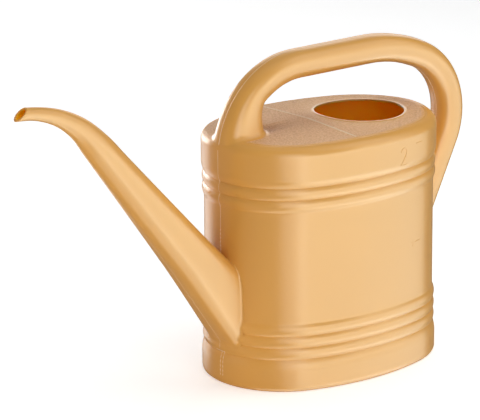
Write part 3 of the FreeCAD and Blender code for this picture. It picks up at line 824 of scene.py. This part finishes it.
def handle_side(inset, roots):
    """Outer or inner rings of the whole handle, from its front root to its rear one."""
    front, front_end = parted(turned_over(front_rings(inset)), HANDLE_CLEAR)
    rear, rear_end = parted(rear_rings(inset), HANDLE_CLEAR)
    front_end, rear_end = (root(rings) for root, rings in zip(roots, (front_end, rear_end)))
    return [*reversed(front_end[1:]), *reversed(front[1:]), *rear, *rear_end[1:]]


outer = handle_side(0, [lambda r: root_rings(r, leg_fillet), lambda r: root_rings(r, rear_fillet)])
bore = handle_side(WALL, [bore_rings, bore_rings])
handle = finish_mesh(carried([*outer, *reversed(bore)], closed="round"), "handle_skin", sharp=70)
give_finish(handle, smooth_finish)
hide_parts("handle_front_leg", "handle_grip", "handle_rear_bend", "handle_rear_leg")
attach(handle, "root")
bore_through([tank, deck], front_rings(WALL)[3 * RING_STEPS:])
bore_through([tank], rear_rings(WALL)[-REAR_STEPS:])
# The shares are laid on now, when both skins have all their openings.
lay_share(tank, "grain", rim_grain)
lay_share(deck, "grain", deck_grain)
# The edge share is the painted highlight on the crease and on the filler's cut edge.
lay_share(deck, "edge", deck_painted_highlight)


# Parting line, pinch mark and litre marks --------------------------------------------
# Fine raised lines of the same skin, moulded with it: the flash where the mould's halves
# met, the mark of the pinched tail at the front of the foot, and the graduations.

LINE_RADIUS, MARK_RADIUS = 0.34, 0.36
LINE_SINK, GRIP_LINE_SINK, PINCH_SINK, MARK_SINK = 0.12, 0.16, 0.12, 0.08
PINCH_LOW, PINCH_TOP, PINCH_LEFT, PINCH_RIGHT = 6.5, 22.6, -4.4, 4.2
ROUGH_STEPS, ROUGH_PITCH, ROUGH_RUN = 26, 0.7, 17
PARTING_FOOT, PARTING_TOP, BEYOND = 3, 157, 5


def way_out(place, limit):
    """How far out its skin lies from the middle of the can, where place gives the point that
    far out. It is looked for up to the limit."""
    low, high = 0.0, limit
    for _ in range(24):
        middle = (low + high) / 2
        low, high = (middle, high) if outside(Vector(place(middle))) < 0 else (low, middle)
    return low


def skin_point(x, z, side):
    """A point of the tank's wall beside the parting plane."""
    return Vector((x, side * way_out(lambda y: (x, y, z), HALF_WIDTH + BEYOND), z))


def nose_point(y, z, side):
    """A point of the tank's wall near the tip of one nose."""
    return Vector((side * way_out(lambda x: (x, y, z), HALF_LENGTH + BEYOND), y, z))


def raised_lines(name, lines, radius):
    """Fine half-round ridges along lines of points, each with its share of the radius."""
    curve = bpy.data.curves.new(name, "CURVE")
    curve.dimensions, curve.bevel_depth, curve.bevel_resolution = "3D", radius / MM, 2
    curve.use_fill_caps = True
    for line in lines:
        spline = curve.splines.new("POLY")
        spline.points.add(len(line) - 1)
        for i, (point, share) in enumerate(line):
            spline.points[i].co = (*(point / MM), 1)
            spline.points[i].radius = share
    drawn = bpy.data.objects.new(name, curve)
    bpy.context.collection.objects.link(drawn)
    bpy.context.view_layer.update()
    mesh = bpy.data.meshes.new_from_object(
        drawn.evaluated_get(bpy.context.evaluated_depsgraph_get()))
    bpy.data.objects.remove(drawn)
    for face in mesh.polygons:
        face.use_smooth = True
    mesh.materials.clear()
    piece = bpy.data.objects.new(name, mesh)
    bpy.context.collection.objects.link(piece)
    return piece


def tube_line(rings, index, depth, first=0, share=1.0):
    """One lengthwise line of a tube, sunk towards the line opposite."""
    line = []
    for ring in rings[first:]:
        p, across = ring[index], ring[(index + LINES // 2) % LINES]
        line.append((p + (across - p).normalized() * depth, share))
    return line


def nose_line(low, high, side, step=1.5):
    """The parting line up one nose of the tank."""
    count = max(2, round((high - low) / step))
    heights = [between(low, high, i / count) for i in range(count + 1)]
    return [(nose_point(0, z, side) - Vector((side * LINE_SINK, 0, 0)), 0.75) for z in heights]


def tube_lines(rings, depth, first=0, shares=(1.0, 1.0)):
    """The parting lines along both sides of a tube."""
    return [tube_line(rings, index, depth, first, share)
            for index, share in zip((LINES // 4, 3 * LINES // 4), shares)]


spout_top = max(p.z for p in outer_lower[-1])
spout_foot = min(p.z for p in outer_lower[-1])
rear_foot = min(p.z for p in outer[-1])
rough = [(nose_point(0, spout_top + i * ROUGH_PITCH, -1)
          + Vector((0.14, 0.22 * math.sin(i * 2.3), 0)), 0.9 + 0.4 * math.sin(i * 1.7))
         for i in range(ROUGH_STEPS)]
parting = raised_lines("parting_line", [
    nose_line(PINCH_TOP + 2, spout_foot + 1, -1),
    nose_line(spout_top + ROUGH_RUN, PARTING_TOP, -1), rough,
    nose_line(PARTING_FOOT, rear_foot, 1),
    *tube_lines([*outer_upper, *outer_lower], LINE_SINK, first=2, shares=(0.45, 0.6)),
    *tube_lines(outer, GRIP_LINE_SINK),
], LINE_RADIUS)
up_pinch = [between(PINCH_LOW, PINCH_TOP, i / 24) for i in range(25)]
over_pinch = [between(PINCH_LEFT, PINCH_RIGHT, i / 12) for i in range(13)]
pinch = raised_lines("pinch_mark", [
    *([(nose_point(y, z, -1) + Vector((PINCH_SINK, 0, 0)), 0.7 + 0.3 * math.sin(z * 2.1))
       for z in up_pinch] for y in (-3.6, -1.2)),
    [(nose_point(y, PINCH_TOP, -1) + Vector((MARK_SINK, 0, 0)), 1.0) for y in over_pinch],
], LINE_RADIUS)

# The strokes of the two numerals, each from its lower left corner.
TWO = [(0.2, 8.4), (0.5, 9.6), (1.4, 10.7), (2.8, 11.2), (4.3, 10.8), (5.3, 9.6), (5.4, 8.0),
       (4.7, 6.2), (3.3, 4.2), (1.6, 1.9), (0.0, 0.0), (5.8, 0.0)]
ONE = [(0.0, 2.6), (1.3, 3.6), (1.3, 0.0)]
marks = [[(skin_point(x + u, z + v, -1) + Vector((0, MARK_SINK, 0)), share) for u, v in stroke]
         for stroke, x, z, share in ((TWO, 22, 140.4, 1.0), (ONE, 35.4, 82.0, 0.8))]
marks += [[(skin_point(x, z, -1) + Vector((0, MARK_SINK, 0)), 1.0)
           for x in (start, (start + end) / 2, end)]
          for start, end, z in ((37.5, 43.5, 152.0), (39.6, 44.9, 84.8))]
litre_marks = raised_lines("litre_marks", marks, MARK_RADIUS)

# The raised lines are painted paler than the skin. This is partly a painted highlight on the fine
# ridges.
flash_and_highlight_finish = honey_skin("pale_flash_painted_highlight", (0.90, 0.64, 0.40, 1), (0.86, 0.58, 0.34, 1))
give_finish(parting, flash_and_highlight_finish)
give_finish(pinch, flash_and_highlight_finish)
give_finish(litre_marks, smooth_finish)
for line in (parting, pinch, litre_marks):
    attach(line, "root")


# Studio ------------------------------------------------------------------------------
# Not part of the can: a white paper floor, soft lamps, cards that show only in the skin's
# gloss, and the camera.

def lamp(name, place, target, width, height, power, colour=(1, 1, 1)):
    """A rectangle of light that faces its target."""
    data = bpy.data.lights.new(name, "AREA")
    data.shape, data.size, data.size_y = "RECTANGLE", width, height
    data.energy, data.color = power, colour
    light = bpy.data.objects.new(name, data)
    light.location = place
    light.rotation_euler = (Vector(target) - Vector(place)).to_track_quat("-Z", "Y").to_euler()
    bpy.context.collection.objects.link(light)
    return light


MIDDLE = (-0.03, 0.0, 0.09)
TINTED = (0.91, 0.98, 0.85)
lamp("front_softbox", (-0.42, -0.94, 0.22), MIDDLE, 0.7, 1.25, 5.7, (0.99, 0.97, 0.90))
lamp("side_softbox", (0.65, -0.62, 0.80), MIDDLE, 0.8, 0.9, 3.0, (0.98, 0.98, 0.92))
for dull in (lamp("overhead", (0.32, 0.08, 1.45), MIDDLE, 1.3, 1.3, 7.8),
             lamp("left_fill", (-1.00, 0.28, 0.08), MIDDLE, 0.6, 0.6, 2.8, (1, 0.82, 0.66)),
             lamp("back_fill", (0.15, 1.25, 0.55), MIDDLE, 0.9, 0.7, 2.4, (1, 0.97, 0.92))):
    dull.visible_glossy = False
for card in (lamp("low_front_card", (0.50, -0.87, -0.30), MIDDLE, 2.2, 0.95, 16.0, TINTED),
             lamp("floor_card", (0.50, -0.85, -1.0), (0.50, -0.85, 0.0), 2.2, 2.0, 34.0, TINTED),
             lamp("front_card", (-0.02, -0.98, 0.16), MIDDLE, 0.9, 0.26, 1.8, TINTED),
             lamp("side_card", (0.64, -0.77, 0.24), MIDDLE, 0.7, 0.42, 1.9, TINTED),
             lamp("back_strip", (-0.07, 0.42, 0.18), (-0.07, 0.0, 0.18), 0.22, 0.18, 0.85),
             lamp("low_back_card", (-0.07, 0.42, -0.03), (-0.07, 0.0, -0.03), 0.24, 0.20, 0.26),
             lamp("back_card", (0.62, 0.80, 0.46), MIDDLE, 0.8, 0.45, 1.9)):
    card.visible_diffuse = card.visible_camera = False

floor_bm = bmesh.new()
bmesh.ops.create_grid(floor_bm, x_segments=1, y_segments=1, size=6000)
floor = finish_mesh(floor_bm, "floor")
floor.visible_glossy = floor.visible_shadow = False
paper = bpy.data.materials.new("paper")
paper.use_nodes = True
paper_shader = paper.node_tree.nodes["Principled BSDF"]
paper_shader.inputs["Base Color"].default_value = (0.93, 0.93, 0.93, 1)
paper_shader.inputs["Roughness"].default_value = 0.9
paper_shader.inputs["Emission Color"].default_value = (0.47, 0.475, 0.485, 1)
# The paper glows only where it is looked at, so that it doesn't light the can.
paper_ray = paper.node_tree.nodes.new("ShaderNodeLightPath")
paper.node_tree.links.new(paper_ray.outputs["Is Camera Ray"],
                          paper_shader.inputs["Emission Strength"])
give_finish(floor, paper)

# The sky is white where it is looked at, and otherwise lights the can only faintly.
world = bpy.data.worlds.new("studio")
world.use_nodes = True
bpy.context.scene.world = world
sky = world.node_tree.nodes["Background"]
sky.inputs["Color"].default_value = (1, 1, 1, 1)
ray = world.node_tree.nodes.new("ShaderNodeLightPath")
level = world.node_tree.nodes.new("ShaderNodeMapRange")
level.inputs["To Min"].default_value, level.inputs["To Max"].default_value = 0.15, 1.0
world.node_tree.links.new(ray.outputs["Is Camera Ray"], level.inputs["Value"])
world.node_tree.links.new(level.outputs["Result"], sky.inputs["Strength"])

camera_data = bpy.data.cameras.new("camera")
camera_data.lens, camera_data.sensor_width = 265.9, 36
camera = bpy.data.objects.new("camera", camera_data)
bpy.context.collection.objects.link(camera)
back = Vector((-0.59113, -0.75405, 0.28631)).normalized()
right = Vector((0.18075, 0.22210, 0.95812)).cross(back).normalized()
camera.location = (-1.41476, -1.72040, 0.76751)
camera.rotation_euler = Matrix((right, back.cross(right), back)).transposed().to_euler()
bpy.context.scene.camera = camera
bpy.context.scene.view_settings.view_transform = "Standard"
